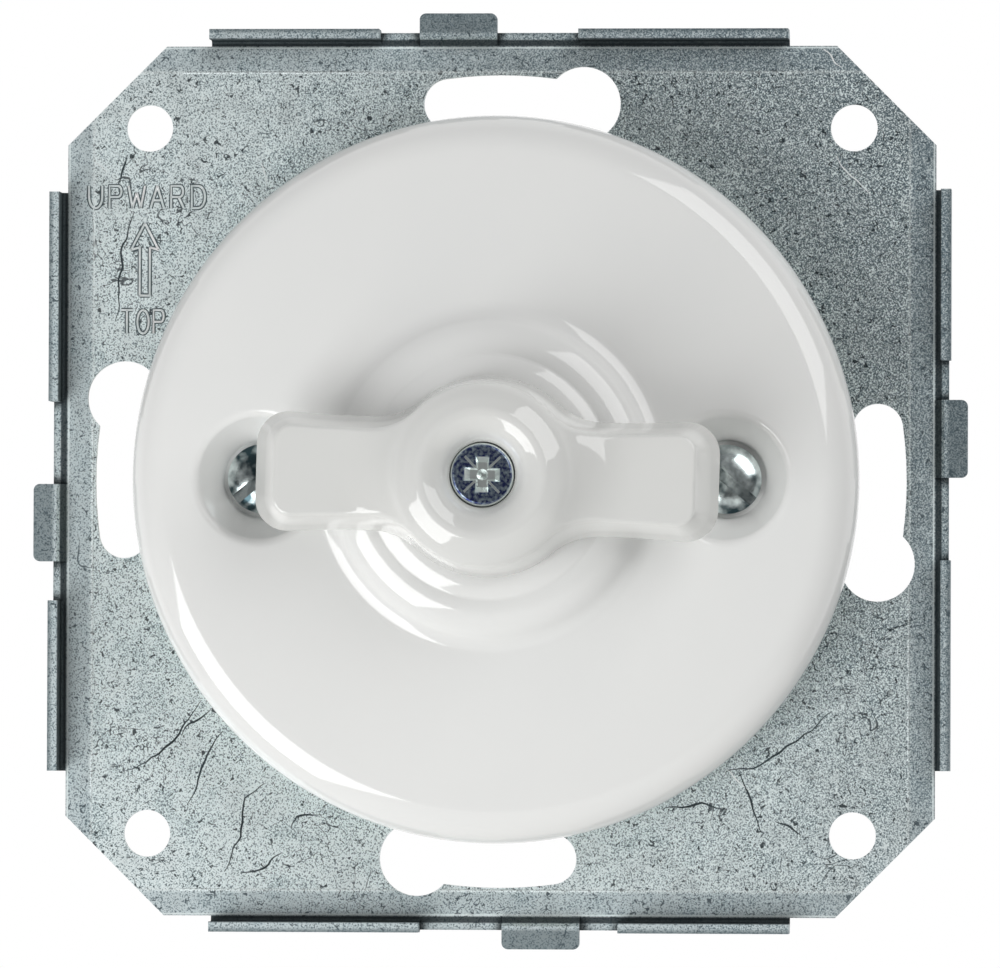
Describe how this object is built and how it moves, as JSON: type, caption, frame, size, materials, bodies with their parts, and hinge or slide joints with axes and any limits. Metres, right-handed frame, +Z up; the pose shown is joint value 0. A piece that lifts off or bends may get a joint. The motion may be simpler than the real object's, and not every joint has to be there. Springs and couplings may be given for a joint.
{
  "type": "rotary light switch",
  "caption": "Flush rotary light switch: domed porcelain cover and butterfly knob on a square steel plate with keyhole slots and linking tabs, steatite base behind.",
  "frame": {"origin": "centre of the mounting plate's back face, on the spindle's axis", "axes": "-Y faces the room along the spindle, +Y into the wall box, +Z up and +X to the right as seen from the room"},
  "size_m": [0.0736, 0.0486, 0.0736],
  "materials": {
    "glazed_porcelain": "clear gloss glaze over white porcelain",
    "galvanised_steel": "galvanised sheet with fine scratches",
    "zinc_plated_steel": "bright zinc plating",
    "steatite": "unglazed fired steatite",
    "brass": "turned and pressed brass",
    "phosphor_bronze": "rolled spring bronze",
    "spring_steel": "blued spring steel",
    "turned_steel": "turned mild steel",
    "moulded_resin": "moulded dark resin"
  },
  "bodies": {
    "switch_body": {"mounting_plate": "galvanised_steel", "cover": "glazed_porcelain", "cover_screws": "zinc_plated_steel", "base_screws": "zinc_plated_steel", "bridge_screws": "zinc_plated_steel", "terminal_screws": "brass", "switch_base": "steatite", "cover_inserts": "brass", "bearing_bridge": "galvanised_steel", "spindle_bush": "brass", "right_detent_spring": "spring_steel", "left_detent_spring": "spring_steel", "way_one_finger": "phosphor_bronze", "way_two_finger": "phosphor_bronze", "common_finger": "phosphor_bronze", "terminal_nuts": "brass", "clamp_washers": "brass"},
    "knob_and_rotor": {"knob": "glazed_porcelain", "knob_screw": "zinc_plated_steel", "spindle": "turned_steel", "thrust_washer": "turned_steel", "index_cam": "turned_steel", "rotor": "moulded_resin", "contact_crown": "brass"}
  },
  "joints": [
    {"name": "knob_turn", "type": "hinge", "parent": "switch_body", "child": "knob_and_rotor", "pos_m": [0, 0, 0], "axis": [0, -1, 0], "continuous": true, "deforming": ["right_detent_spring", "left_detent_spring"]}
  ]
}
